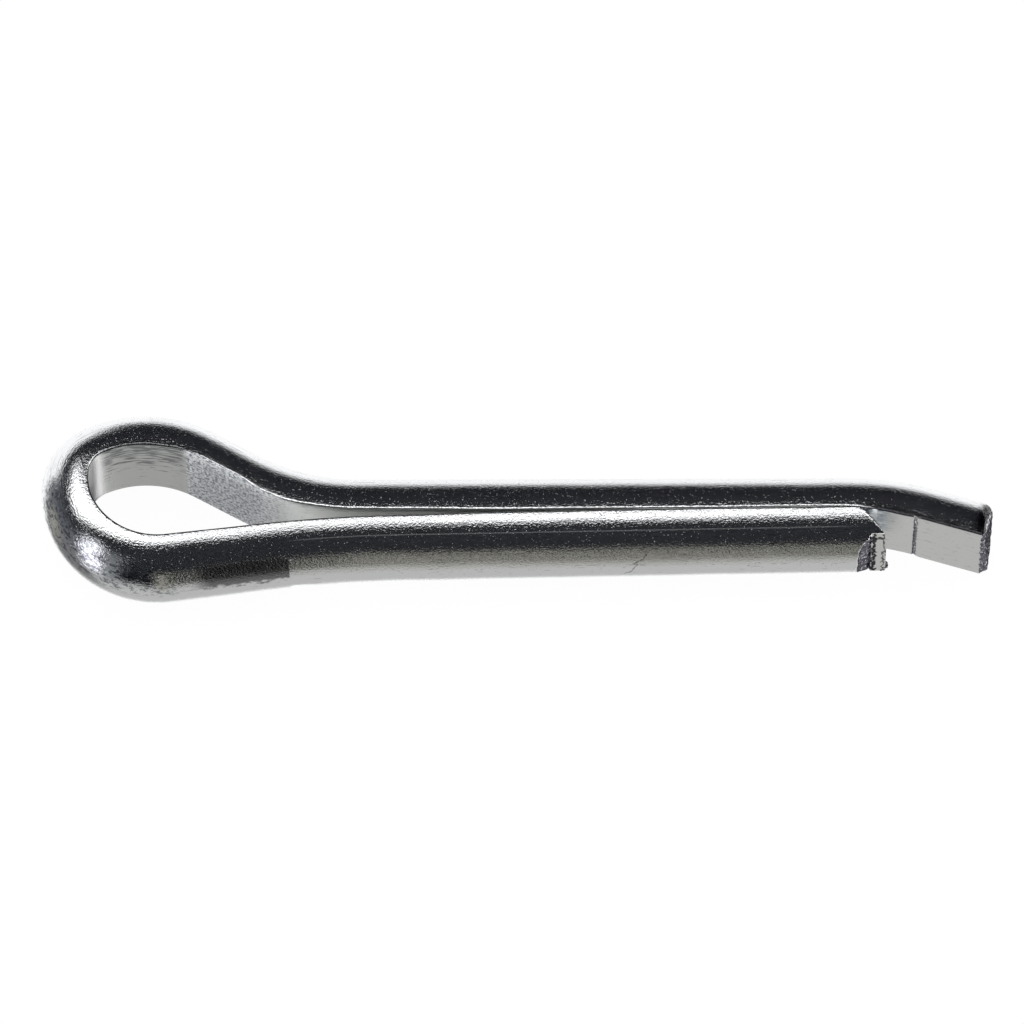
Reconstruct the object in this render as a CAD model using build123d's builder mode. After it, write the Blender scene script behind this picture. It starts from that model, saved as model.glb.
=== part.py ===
"""Split pin of half-round wire, hammer-lock pattern: one bent wire with a lopsided eye, a short leg
that ends in a sheared wedge and a long leg whose tip is bent across the wedge.

The shank lies along X with its tips towards +X. The long leg is on the +Y side, the short leg on the
-Y side, and the loop lies flat in the XY plane. X = 0 is the plane under the eye that seats on a hole.
"""
from build123d import *

import os
from math import acos, atan2, cos, degrees, hypot, radians, sin, tan

# Wire: a half-round section, flat towards the inside of the loop
wire_width = 5.70
edge_radius = 0.10

# Shank: the two flats face each other and close towards the tips
seat_gap = 0.70
end_gap = 0.12
short_leg_length = 34.60

# Eye: three tangent arcs along the inner flat, from the long leg's side round to the short leg's side
eye_far_radius = 5.92
eye_end_radius = 1.53
eye_near_radius = 4.35
eye_end_reach = 14.15
eye_near_reach = 1.54
eye_join_angle = 114.6

# Necks between the eye and the legs, each rounded over a share of its straight run to the eye
far_neck_setback = 1.78
far_neck_share = 0.571
near_neck_lead = 0.18
near_neck_share = 0.476

# Short leg's end: a bevel on the flat side, a sheared strip and a hollow tear on the round side
bevel_run = 1.80
bevel_round = 0.80
wedge_depth = 1.75
strip_run = 0.92
tear_run = 0.93
tear_radius = 1.75

# Long leg's end: bent across the short leg, scored across its flat and sheared off. The break slopes back
# to the crown and leans in its height, the flat's edge is chipped and the upper crown is rolled over.
bend_lead = 1.43
bend_radius = 16.0
bend_angle = 17.4
tip_length = 6.80
break_back_angle = 7.6
break_side_angle = 3.8
chip_run = 0.48
chip_depth = 0.30
roll_run = 0.90
roll_depth = 1.39
roll_setback = 0.24
roll_angle = 36.0
score_setback = 4.30
score_width = 0.26
score_depth = 0.07

# How far the bar and the waste pieces run past the finished faces
overrun = 1.0
waste_reach = 2.0

half_width = wire_width / 2
bevel_start = short_leg_length - bevel_run
closing_slope = (seat_gap - end_gap) / 2 / bevel_start


def flat_height(x):
    """Distance from the shank's axis to a leg's flat at a place along the axis."""
    return seat_gap / 2 - closing_slope * x


def heading(angle):
    """Direction in plan at an angle in degrees from +X."""
    return Vector(cos(radians(angle)), sin(radians(angle)))


def turned(point, distance, angle):
    """The point a distance away from another, at an angle in degrees from +X."""
    return point + heading(angle) * distance


def tangent_angle(corner, centre, radius, side):
    """Angle on a circle, seen from its centre, where a line from an outside corner touches it."""
    away = corner - centre
    opening = degrees(acos(radius / hypot(away.X, away.Y)))
    return degrees(atan2(away.Y, away.X)) + side * opening


def neck_radius(leg_point, corner, touch, share):
    """Radius that rounds a neck's corner over a share of the straight run from the corner to the eye."""
    run = touch - corner
    turn = run.get_angle(corner - leg_point)
    return share * run.length / tan(radians(turn / 2))


def section_on(plane):
    """Half-round section on a plane whose x direction points from the flat to the crown."""
    with BuildSketch(plane) as section:
        with BuildLine():
            CenterArc((0, 0), half_width, -90, 180)
            Line((0, -half_width), (0, half_width))
        make_face()
        fillet(section.vertices(), edge_radius)
    return section.sketch


# Centres of the eye's arcs, each set so that it touches the next one
end_centre = Vector(-eye_end_reach + eye_end_radius, -eye_near_reach + eye_near_radius)
far_centre = turned(end_centre, -(eye_far_radius - eye_end_radius), eye_join_angle)
near_centre = turned(end_centre, eye_near_radius - eye_end_radius, 0)

# Corners of the route where straight runs meet before they are rounded
leg_angle = degrees(atan2(closing_slope, 1))
far_neck = Vector(-far_neck_setback, flat_height(-far_neck_setback))
near_neck = Vector(near_neck_lead, -flat_height(near_neck_lead))
bend_x = bevel_start + bend_lead
bend_corner = Vector(bend_x, flat_height(bend_x))
tip_angle = -leg_angle - bend_angle
tip_end = turned(bend_corner, tip_length, tip_angle)
tip_stock = turned(tip_end, overrun, tip_angle)
far_touch_angle = tangent_angle(far_neck, far_centre, eye_far_radius, 1)
near_touch_angle = tangent_angle(near_neck, near_centre, eye_near_radius, -1) + 360
far_touch = turned(far_centre, eye_far_radius, far_touch_angle)
near_touch = turned(near_centre, eye_near_radius, near_touch_angle)

# The short leg is a straight bar up to its tip, so the bent wire stops where that bar starts
leg_root_x = short_leg_length / 2
leg_root = Vector(leg_root_x, -flat_height(leg_root_x))
far_neck_radius = neck_radius(bend_corner, far_neck, far_touch, far_neck_share)
near_neck_radius = neck_radius(leg_root, near_neck, near_touch, near_neck_share)

# Route of the inner flat, from the long leg's tip round the eye to the middle of the short leg
with BuildLine() as route:
    FilletPolyline(tip_stock, bend_corner, far_neck, far_touch, radius=[bend_radius, far_neck_radius])
    CenterArc(far_centre, eye_far_radius, far_touch_angle, eye_join_angle - far_touch_angle)
    CenterArc(end_centre, eye_end_radius, eye_join_angle, 180 - eye_join_angle)
    CenterArc(near_centre, eye_near_radius, 180, near_touch_angle - 180)
    FilletPolyline(near_touch, near_neck, leg_root, radius=near_neck_radius)

with BuildPart() as split_pin:
    # Straight half of the short leg, with its wedge end
    leg_plane = Plane(
        origin=leg_root,
        x_dir=heading(leg_angle - 90),
        z_dir=heading(leg_angle),
    )
    leg_run = (short_leg_length - leg_root_x) / cos(radians(leg_angle))
    extrude(section_on(leg_plane), amount=leg_run)

    # Plan of the waste at the end, in the leg's own directions: along the leg and in from the flat
    end_plane = Plane(
        origin=Vector(short_leg_length, -flat_height(short_leg_length)),
        x_dir=heading(leg_angle),
        z_dir=(0, 0, 1),
    )
    with BuildSketch(end_plane) as bevel_waste:
        with BuildLine():
            rounded = FilletPolyline(
                (overrun, -wedge_depth - overrun * wedge_depth / bevel_run),
                (-bevel_run, 0),
                (-bevel_run - overrun, 0),
                radius=bevel_round,
            )
            Polyline(rounded @ 1, (-bevel_run - overrun, overrun), (overrun, overrun), rounded @ 0)
        make_face()
    extrude(amount=wire_width, both=True, mode=Mode.SUBTRACT)

    with BuildSketch(end_plane) as tear_waste:
        with BuildLine():
            tear = RadiusArc(
                (-strip_run, -wedge_depth),
                (-strip_run - tear_run, -half_width),
                -tear_radius,
            )
            Polyline(
                tear @ 1,
                (-strip_run - tear_run, -half_width - overrun),
                (overrun, -half_width - overrun),
                (overrun, -wedge_depth),
                tear @ 0,
            )
        make_face()
    extrude(amount=wire_width, both=True, mode=Mode.SUBTRACT)

    # Bent wire: the long leg, the eye and the first half of the short leg
    tip_plane = Plane(origin=tip_stock, x_dir=heading(tip_angle + 90), z_dir=route.wire() % 0)
    sweep(section_on(tip_plane), path=route.wire())

    # Long leg's end: the break, with the chip along the flat's edge
    tip_frame = Plane(origin=tip_end, x_dir=heading(tip_angle), z_dir=(0, 0, 1))
    break_lean = tan(radians(break_back_angle))
    with BuildSketch(tip_frame.rotated((0, -break_side_angle, 0))) as tip_waste:
        with BuildLine():
            Polyline(
                (-chip_run, -overrun),
                (-chip_run, 0),
                (-chip_depth * break_lean, chip_depth),
                (-(half_width + overrun) * break_lean, half_width + overrun),
                (waste_reach, half_width + overrun),
                (waste_reach, -overrun),
                close=True,
            )
        make_face()
    extrude(amount=wire_width, both=True, mode=Mode.SUBTRACT)

    # The rolled-over upper crown, in a plane that holds the tip's direction and the direction of the roll
    upright = Vector(0, 0, 1)
    roll_side = heading(tip_angle + 90) * cos(radians(roll_angle)) + upright * sin(radians(roll_angle))
    roll_plane = Plane(
        origin=tip_end,
        x_dir=heading(tip_angle),
        z_dir=heading(tip_angle).cross(roll_side),
    )
    with BuildSketch(roll_plane) as roll_waste:
        with BuildLine():
            curve = EllipticalCenterArc(
                (-roll_setback - roll_run, half_width - roll_depth + edge_radius / 2),
                roll_run,
                roll_depth,
                start_angle=0,
                arc_size=90,
            )
            Polyline(
                curve @ 1,
                (-roll_setback - roll_run, half_width + overrun),
                (waste_reach, half_width + overrun),
                (waste_reach, half_width - roll_depth + edge_radius / 2),
                curve @ 0,
            )
        make_face()
    extrude(amount=wire_width, both=True, mode=Mode.SUBTRACT)

    # Score across the flat
    with BuildSketch(tip_frame) as score:
        with BuildLine():
            Polyline(
                (-score_setback, score_depth),
                (-score_setback - score_width / 2, 0),
                (-score_setback - score_width / 2, -score_depth),
                (-score_setback + score_width / 2, -score_depth),
                (-score_setback + score_width / 2, 0),
                close=True,
            )
        make_face()
    extrude(amount=wire_width, both=True, mode=Mode.SUBTRACT)

os.makedirs("parts", exist_ok=True)
split_pin.part.label = "split_pin"
export_step(split_pin.part, "parts/split_pin.step")
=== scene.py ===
"""Split pin of zinc-plated half-round wire, lying on a pale studio floor.

The wire is drawn along a bending schedule, from the tip of the long leg round the eye to the tip of the
short leg, and its two ends are then cut. Lengths in the classes are millimetres, and the finished mesh is
in metres. A place on the wire is a distance along it, a distance out from its flat, and a height.
"""
import logging
import math
from collections.abc import Sequence
from dataclasses import dataclass
from enum import Enum, IntEnum
from typing import Any

import bmesh
import bpy
from mathutils import Matrix, Vector, noise


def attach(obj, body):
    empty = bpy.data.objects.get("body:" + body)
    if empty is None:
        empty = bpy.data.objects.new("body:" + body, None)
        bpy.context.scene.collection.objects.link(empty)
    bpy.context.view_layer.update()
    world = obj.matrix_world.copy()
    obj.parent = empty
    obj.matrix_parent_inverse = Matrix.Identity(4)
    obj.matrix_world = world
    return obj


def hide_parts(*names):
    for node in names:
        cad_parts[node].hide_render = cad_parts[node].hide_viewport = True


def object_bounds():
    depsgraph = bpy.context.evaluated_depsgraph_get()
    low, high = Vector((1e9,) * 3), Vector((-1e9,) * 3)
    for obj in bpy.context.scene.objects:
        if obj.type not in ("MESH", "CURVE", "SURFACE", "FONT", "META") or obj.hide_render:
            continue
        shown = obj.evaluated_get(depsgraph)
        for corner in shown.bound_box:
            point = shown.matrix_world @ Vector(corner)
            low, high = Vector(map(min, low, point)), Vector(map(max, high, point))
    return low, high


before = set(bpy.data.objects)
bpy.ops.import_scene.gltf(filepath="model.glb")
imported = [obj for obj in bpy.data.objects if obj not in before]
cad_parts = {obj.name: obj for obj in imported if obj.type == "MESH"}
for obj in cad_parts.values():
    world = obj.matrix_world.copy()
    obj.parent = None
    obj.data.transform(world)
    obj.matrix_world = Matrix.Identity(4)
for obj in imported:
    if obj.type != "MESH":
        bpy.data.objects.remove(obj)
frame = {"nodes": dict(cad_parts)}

CAD_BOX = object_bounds()
MM = 0.001
PLACE = "wire_place"
# Vertex layer of the painted highlight along the rims of the cuts
EDGE_HIGHLIGHT = "painted_edge_highlight"
# Millimetres: how near a cut a vertex counts as on it, and how near two vertices are merged
ON_CUT = 1e-5
MERGE = 1e-4
NOISE_MIDDLE = 0.5
Colour = tuple[float, float, float, float]
Triple = tuple[float, float, float]
Band = tuple[float, float]
log = logging.getLogger("split_pin")


class Surface(Enum):
    """Which finish a face of the pin takes. The value is its material slot."""

    PLATED = 0
    SHEARED = 1
    LAND = 2
    SMEARED = 3


class Run(IntEnum):
    """The lines of the bending schedule in order, from the long leg's tip to the short leg's."""

    LONG_TIP = 0
    TIP_BEND = 1
    LONG_LEG = 2
    FAR_NECK = 3
    FAR_RUN = 4
    EYE_FAR = 5
    EYE_END = 6
    EYE_NEAR = 7
    NEAR_RUN = 8
    NEAR_NECK = 9
    SHORT_LEG = 10


def direction(angle: float) -> Vector:
    """Unit vector in plan at an angle in degrees from +X."""
    return Vector((math.cos(math.radians(angle)), math.sin(math.radians(angle)), 0.0))


def blend_share(value: float, low: float, high: float) -> float:
    """Share from 0 at low to 1 at high, eased at both ends."""
    share = min(max((value - low) / (high - low), 0.0), 1.0)
    return share * share * (3.0 - 2.0 * share)


def read_marks(marks: Sequence[Sequence[float]], at: float) -> list[float]:
    """Values between marks that were taken along the wire.

    Args:
        marks: rows of a distance and the values there, in order of distance.
        at: the distance to read.

    Returns:
        The values, eased from mark to mark.
    """
    for before, after in zip(marks, marks[1:]):
        if at <= after[0]:
            share = blend_share(at, before[0], after[0])
            return [low + (high - low) * share for low, high in zip(before[1:], after[1:])]
    return list(marks[-1][1:])


@dataclass(frozen=True)
class Stretch:
    """A straight run of the wire, or a bend where turn is not zero.

    The line that it follows is the middle of the wire's flat. A positive turn goes to the left.
    """

    start: Vector
    heading: float
    length: float
    turn: float
    begins: float

    @property
    def radius(self) -> float:
        """Radius of a bend, at the wire's flat."""
        return self.length / math.radians(abs(self.turn))

    @property
    def centre(self) -> Vector:
        """Centre that a bend turns round."""
        return self.start + direction(self.heading + math.copysign(90.0, self.turn)) * self.radius

    def place(self, along: float) -> tuple[Vector, float]:
        """Where the wire is after a distance along the stretch.

        Args:
            along: distance from the start of the stretch.

        Returns:
            The point on the flat and the heading there in degrees.
        """
        if not self.turn:
            return self.start + direction(self.heading) * along, self.heading
        turned = self.turn * along / self.length
        arm = Matrix.Rotation(math.radians(turned), 3, "Z") @ (self.start - self.centre)
        return self.centre + arm, self.heading + turned

    def along(self, point: Vector) -> float:
        """Distance along the stretch of a point beside it.

        Args:
            point: a point of the wire's surface.

        Returns:
            The distance from the start of the stretch.
        """
        if not self.turn:
            return (point - self.start).dot(direction(self.heading))
        arm = (point - self.centre).to_2d()
        first = (self.start - self.centre).to_2d()
        swung = math.degrees(math.atan2(first.cross(arm), first.dot(arm)))
        return self.length * swung / self.turn


@dataclass(frozen=True)
class Feed:
    """One line of the bending schedule: a straight feed, or a bend of a radius through an angle."""

    run: float = 0.0
    radius: float = 0.0
    turn: float = 0.0

    @property
    def length(self) -> float:
        """Length of wire that the line uses, at its flat."""
        return self.run + self.radius * math.radians(abs(self.turn))


@dataclass(frozen=True)
class Mottle:
    """A noise pattern on the wire, by its lumps per millimetre along, out and up, and by its detail."""

    density: Triple
    detail: float
    roughness: float = 0.5
    offset: Triple = (0.0, 0.0, 0.0)


class NodeBench:
    """Places and wires the nodes of one shader tree."""

    def __init__(self, tree: bpy.types.NodeTree) -> None:
        """Starts on a tree that may already hold nodes."""
        self.tree = tree

    def feed(self, socket: bpy.types.NodeSocket, source: Any) -> None:
        """Links a socket to the source, or sets it where the source is a plain value."""
        if isinstance(source, bpy.types.NodeSocket):
            self.tree.links.new(source, socket)
        else:
            socket.default_value = source

    def node(self, kind: str, inputs: dict[Any, Any] | None = None, **settings: Any) -> bpy.types.Node:
        """Places a node.

        Args:
            kind: the node's type name.
            inputs: sources or plain values by socket name or number.
            settings: the node's own properties.

        Returns:
            The new node.
        """
        made = self.tree.nodes.new(kind)
        for name, value in settings.items():
            setattr(made, name, value)
        for key, source in (inputs or {}).items():
            self.feed(made.inputs[key], source)
        return made

    def math(self, operation: str, *values: Any) -> bpy.types.NodeSocket:
        """Result of a Math node on sockets or numbers."""
        return self.node("ShaderNodeMath", dict(enumerate(values)), operation=operation).outputs[0]

    def product(self, *masks: Any) -> Any:
        """Product of masks.

        Args:
            masks: sockets, or numbers after the first.

        Returns:
            The product.
        """
        made = masks[0]
        for mask in masks[1:]:
            made = self.math("MULTIPLY", made, mask)
        return made

    def highest(self, *masks: Any) -> Any:
        """Highest of some masks at each place.

        Args:
            masks: the sockets.

        Returns:
            The highest value.
        """
        made = masks[0]
        for mask in masks[1:]:
            made = self.math("MAXIMUM", made, mask)
        return made

    def apart(self, value: Any, other: Any) -> bpy.types.NodeSocket:
        """Distance between two values, either way."""
        return self.math("ABSOLUTE", self.math("SUBTRACT", value, other))

    def total(self, *terms: tuple[Any, float]) -> Any:
        """Sum of values, each with its weight.

        Args:
            terms: pairs of a value and its weight.

        Returns:
            The sum.
        """
        added: Any = 0.0
        for value, weight in terms:
            added = self.math("MULTIPLY_ADD", value, weight, added)
        return added

    def ease(self, value: Any, low: Any, high: Any, start: Any = 0.0, end: Any = 1.0) -> bpy.types.NodeSocket:
        """Smooth step of a value between two limits.

        Args:
            value: what is measured.
            low: limit where the result is start.
            high: limit where the result is end.
            start: result at and below low.
            end: result at and above high.

        Returns:
            The eased result.
        """
        inputs = {"Value": value, "From Min": low, "From Max": high, "To Min": start, "To Max": end}
        return self.node("ShaderNodeMapRange", inputs, interpolation_type="SMOOTHSTEP").outputs["Result"]

    def tint(self, share: Any, first: Any, second: Any) -> bpy.types.NodeSocket:
        """Mix of two colours.

        Args:
            share: share of the second colour.
            first: the colour at 0.
            second: the colour at 1.

        Returns:
            The mixed colour.
        """
        made = self.node("ShaderNodeMix", data_type="RGBA")
        for name, source in (("Factor_Float", share), ("A_Color", first), ("B_Color", second)):
            self.feed(next(s for s in made.inputs if s.identifier == name), source)
        return next(s for s in made.outputs if s.identifier == "Result_Color")

    def stretched(self, place: Any, scale: Triple, offset: Triple = (0.0, 0.0, 0.0)) -> bpy.types.NodeSocket:
        """A place scaled and shifted for a texture."""
        inputs = {"Vector": place, "Scale": scale, "Location": offset}
        return self.node("ShaderNodeMapping", inputs).outputs["Vector"]

    def grain(self, place: Any, scale: Any, detail: float, roughness: float) -> bpy.types.NodeSocket:
        """Noise value at a place."""
        inputs = {"Vector": place, "Scale": scale, "Detail": detail, "Roughness": roughness}
        return self.node("ShaderNodeTexNoise", inputs).outputs["Fac"]

    def mottle(self, place: Any, pattern: Mottle) -> bpy.types.NodeSocket:
        """Noise value of a pattern at a place on the wire."""
        where = self.stretched(place, pattern.density, pattern.offset)
        return self.grain(where, 1.0, pattern.detail, pattern.roughness)


def new_group(
    name: str, inputs: dict[str, str], outputs: dict[str, str]
) -> tuple[bpy.types.NodeTree, NodeBench]:
    """Starts a shader node group.

    Args:
        name: the group's name.
        inputs: socket types by name.
        outputs: socket types by name.

    Returns:
        The group's tree and a bench on it.
    """
    tree = bpy.data.node_groups.new(name, "ShaderNodeTree")
    for label, kind in inputs.items():
        tree.interface.new_socket(label, in_out="INPUT", socket_type=kind)
    for label, kind in outputs.items():
        tree.interface.new_socket(label, in_out="OUTPUT", socket_type=kind)
    return tree, NodeBench(tree)


def new_material(name: str) -> tuple[bpy.types.Material, NodeBench, bpy.types.Node]:
    """Starts a material.

    Args:
        name: the material's name.

    Returns:
        The material, a bench on its tree and its Principled BSDF.
    """
    made = bpy.data.materials.new(name)
    made.use_nodes = True
    return made, NodeBench(made.node_tree), made.node_tree.nodes["Principled BSDF"]


class Relief:
    """Shared relief of the metal: grain and specks at a chosen size, as one node group."""

    NAME = "metal_relief"
    GRAIN_DETAIL = 2.5
    SPECK_DETAIL = 1.5
    ROUGHNESS = 0.6
    SPECK_EDGE = 0.06

    @classmethod
    def tree(cls) -> bpy.types.NodeTree:
        """The group, built on first use.

        Returns:
            A tree that takes a place, two sizes and a limit, and puts out a height and a speck mask.
        """
        if cls.NAME in bpy.data.node_groups:
            return bpy.data.node_groups[cls.NAME]
        sockets = {"Place": "NodeSocketVector"} | {n: "NodeSocketFloat" for n in ("Grain", "Specks", "Bare")}
        tree, bench = new_group(cls.NAME, sockets, {"Height": "NodeSocketFloat", "Mask": "NodeSocketFloat"})
        given = bench.node("NodeGroupInput").outputs
        grain = bench.grain(given["Place"], given["Grain"], cls.GRAIN_DETAIL, cls.ROUGHNESS)
        specks = bench.grain(given["Place"], given["Specks"], cls.SPECK_DETAIL, cls.ROUGHNESS)
        full = bench.math("ADD", given["Bare"], cls.SPECK_EDGE)
        put = bench.node("NodeGroupOutput")
        bench.feed(put.inputs["Height"], grain)
        bench.feed(put.inputs["Mask"], bench.ease(specks, given["Bare"], full))
        return tree

    @classmethod
    def place(cls, bench: NodeBench, where: Any, grain: float, specks: float, bare: float) -> bpy.types.Node:
        """Puts the group into a material.

        Args:
            bench: the material's bench.
            where: the place on the metal, in millimetres.
            grain: grains per millimetre.
            specks: specks per millimetre.
            bare: noise level below which there are no specks.

        Returns:
            The group's node.
        """
        made = bench.node("ShaderNodeGroup", node_tree=cls.tree())
        bench.feed(made.inputs["Place"], where)
        made.inputs["Grain"].default_value = grain
        made.inputs["Specks"].default_value = specks
        made.inputs["Bare"].default_value = bare
        return made


@dataclass(frozen=True)
class ZincPlate:
    """Bright zinc plate on drawn wire: polished on the round side, grainy on the flat.

    The fields without a value are distances along the wire. They say where the eye's flat has painted sparkle
    and streaks, where the wedge smeared the long leg, and where the round side has a painted highlight line,
    a crack and painted shade.
    A band is the pair of limits between which a mask or a share is eased.
    """

    sparkle_from: float
    sparkle_to: float
    streaks_to: float
    smear_at: float
    line_from: float
    line_to: float
    crack_at: float
    shade_from: float
    shade_to: float
    shade_blotch_from: float
    shade_blotch_to: float
    name: str = "zinc_plate"
    bright: Colour = (0.84, 0.85, 0.86, 1.0)
    stained: Colour = (0.30, 0.30, 0.30, 1.0)
    flat_grey: Colour = (0.80, 0.81, 0.80, 1.0)
    flat_dark: Colour = (0.16, 0.17, 0.18, 1.0)
    smear_blue: Colour = (0.34, 0.40, 0.46, 1.0)
    cloud_light: Colour = (0.86, 0.88, 0.92, 1.0)
    cloud_dark: Colour = (0.26, 0.29, 0.34, 1.0)
    shade: Colour = (0.16, 0.16, 0.17, 1.0)
    # Dark of the painted shade in blotches round the eye's end
    shade_blotch: Colour = (0.10, 0.11, 0.15, 1.0)
    # Dark of the painted shade on the flat's corners and the long tip's rolled corner
    painted_dark: Colour = (0.03, 0.03, 0.035, 1.0)
    streak_grey: Colour = (0.60, 0.61, 0.60, 1.0)
    # White of the dust and of the painted highlights
    dust_and_highlight: Colour = (0.93, 0.94, 0.96, 1.0)
    # The flat: plain grain, painted sparkle down the neck in light and dark clouds with white specks, streaks
    # round the eye
    flat_edge: Band = (0.02, 0.07)
    flat_grain: Mottle = Mottle((1.2, 3.4, 3.4), 4.0, 0.65)
    flat_grain_band: Band = (0.56, 0.74)
    flat_grain_share: float = 0.45
    clouds: Mottle = Mottle((4.0, 5.5, 5.5), 3.0, 0.7)
    cloud_band: Band = (0.40, 0.58)
    streaks: Mottle = Mottle((0.7, 6.5, 6.5), 3.0, 0.6)
    streak_heights: Band = (-2.0, 2.2)
    streak_levels: Band = (0.61, 0.43)
    streak_edge: float = 0.10
    streak_share: float = 0.85
    streaks_fade: float = 0.4
    sparkle_fade_in: float = 3.5
    sparkle_fade_out: float = 0.25
    sparkle_specks: Mottle = Mottle((5.0, 6.0, 6.0), 1.0)
    sparkle_speck_band: Band = (0.54, 0.60)
    sparkle_speck_share: float = 0.95
    rim_heights: Band = (1.75, 2.25)
    rim_band: Band = (0.42, 0.56)
    rim_highlight_share: float = 0.7
    # The smear beside the wedge, with a painted highlight, the glint, in its middle
    smear_reach: float = 0.75
    smear_fade: float = 0.35
    smear_heights: Band = (-0.8, 0.8)
    smear_band: Band = (0.40, 0.56)
    glint_reach: float = 0.14
    glint_fade: float = 0.10
    glint_heights: Band = (0.7, 1.5)
    glint_share: float = 0.8
    # The hairline crack, by its angle on the section
    crack_angle: float = 15.0
    crack_sway: Mottle = Mottle((1.5, 2.0, 2.0), 3.0, 0.6)
    crack_sway_run: float = 1.6
    crack_slant: float = 0.03
    crack_band: Band = (0.03, 0.08)
    crack_share: float = 0.85
    crack_reach: Band = (18.0, 22.0)
    # Painted shade beside the die mark and in dark blotches round the eye's end, by angle on the section
    shade_edge: Mottle = Mottle((1.6, 3.0, 3.0), 3.0, 0.6, (5.0, 3.0, 1.0))
    shade_sway: float = 30.0
    shade_fade_in: float = 0.8
    shade_fade_out: float = 0.05
    shade_share: float = 0.9
    shade_foot: Band = (6.0, 14.0)
    shade_top: Band = (38.0, 46.0)
    spots: Mottle = Mottle((4.0, 4.5, 4.5), 3.0, 0.7, (1.0, 6.0, 4.0))
    spot_band: Band = (0.50, 0.58)
    spot_share: float = 0.7
    shade_blotch_fade: float = 0.8
    shade_blotch_foot: Band = (0.0, 12.0)
    shade_blotch_top: Band = (40.0, 60.0)
    # Relief: the grain and specks of the plate, and the lines that drawing left in the wire
    relief_scale: Triple = (0.8, 1.0, 1.0)
    relief_grain: float = 9.0
    relief_specks: float = 7.0
    relief_bare: float = 0.67
    draw_lines: Mottle = Mottle((0.22, 9.0, 9.0), 2.0)
    grain_height: float = 0.019
    line_height: float = 0.003
    speck_height: float = -0.004
    # Stains, dust, a faint painted highlight line along the short leg, and painted highlights on the rims of
    # the cuts
    hairs: Mottle = Mottle((0.6, 7.0, 7.0), 2.0, 0.5, (3.0, 1.0, 2.0))
    hair_band: Band = (0.64, 0.72)
    stain_share: float = 0.5
    dust: Mottle = Mottle((10.0, 12.0, 12.0), 1.0, 0.5, (7.0, 2.0, 5.0))
    dust_band: Band = (0.70, 0.78)
    dust_stretch: Band = (10.0, 30.0)
    dust_chalk: Band = (0.12, 0.30)
    line_angle: float = 63.0
    line_band: Band = (0.4, 1.1)
    line_highlight_share: float = 0.06
    line_fade: float = 1.5
    edge_highlight_band: Band = (0.3, 0.8)
    # Painted shade: the flat's corners on the long tip and round the eye, and the long tip's rolled corner
    shaded_corner: Band = (0.10, 0.35)
    shaded_tip: Band = (8.0, 9.5)
    shaded_tip_share: float = 0.97
    shaded_eye_fade: float = 1.0
    shaded_eye_share: float = 0.8
    roll_stretch: Band = (1.6, 2.2)
    roll_share: float = 0.93
    roll_angles: Band = (28.0, 40.0)
    round_roughness: float = 0.12
    flat_more_roughness: float = 0.16

    def stretch_mask(
        self, bench: NodeBench, along: Any, low: float, high: float, soft: float
    ) -> bpy.types.NodeSocket:
        """Mask of the wire between two distances.

        Args:
            bench: the material's bench.
            along: distance along the wire.
            low: where the mask starts.
            high: where it ends.
            soft: half the length over which it fades.

        Returns:
            The mask.
        """
        rise = bench.ease(along, low - soft, low + soft)
        return bench.product(rise, bench.ease(along, high - soft, high + soft, 1.0, 0.0))

    def flat_finish(self, bench: NodeBench, place: Any, along: Any, height: Any) -> tuple[Any, Any]:
        """Look of the flat side: pale grey, streaked round the eye, with painted sparkle and highlights at
        its neck, smeared by the wedge with a painted highlight in the smear.

        Args:
            bench: the material's bench.
            place: the place on the wire.
            along: distance along the wire.
            height: height on the flat.

        Returns:
            The colour, and a mask of the painted highlights.
        """
        fine = bench.mottle(place, self.flat_grain)
        grainy = bench.ease(fine, *self.flat_grain_band, 0.0, self.flat_grain_share)
        plain = bench.tint(grainy, self.flat_grey, self.flat_dark)
        # Painted sparkle: light and dark clouds in the colour
        clouds = bench.mottle(place, self.clouds)
        cloudy = bench.tint(bench.ease(clouds, *self.cloud_band), self.cloud_dark, self.cloud_light)
        level = bench.ease(height, *self.streak_heights, *self.streak_levels)
        full_level = bench.math("ADD", level, self.streak_edge)
        streaks = bench.ease(bench.mottle(place, self.streaks), level, full_level, 0.0, self.streak_share)
        streaky = bench.tint(streaks, self.streak_grey, self.flat_dark)
        begun = bench.ease(along, self.sparkle_from, self.sparkle_from + self.sparkle_fade_in)
        fade = self.sparkle_fade_out
        in_sparkle = bench.product(
            begun, bench.ease(along, self.sparkle_to - fade, self.sparkle_to + fade, 1.0, 0.0)
        )
        in_streaks = self.stretch_mask(bench, along, self.sparkle_to, self.streaks_to, self.streaks_fade)
        colour = bench.tint(in_streaks, bench.tint(in_sparkle, plain, cloudy), streaky)
        low, high = self.smear_at - self.smear_reach, self.smear_at + self.smear_reach
        in_smear = bench.product(
            self.stretch_mask(bench, along, low, high, self.smear_fade),
            bench.ease(height, *self.smear_heights),
        )
        smear = bench.product(in_smear, bench.ease(fine, *self.smear_band))
        colour = bench.tint(smear, colour, self.smear_blue)
        # Painted sparkle: white specks that stand in for glints
        sparkle_specks = bench.ease(bench.mottle(place, self.sparkle_specks), *self.sparkle_speck_band, 0.0, self.sparkle_speck_share)
        low, high = self.smear_at - self.glint_reach, self.smear_at + self.glint_reach
        # Painted highlight: the glint in the middle of the smear
        glint = bench.product(
            self.stretch_mask(bench, along, low, high, self.glint_fade),
            bench.ease(height, *self.glint_heights, 0.0, self.glint_share),
        )
        # Painted highlight along the top of the flat in the sparkle stretch
        at_rim = bench.product(in_sparkle, bench.ease(height, *self.rim_heights, 0.0, self.rim_highlight_share))
        rim = bench.product(at_rim, bench.ease(clouds, *self.rim_band))
        return colour, bench.highest(bench.product(in_sparkle, sparkle_specks), glint, rim)

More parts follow.
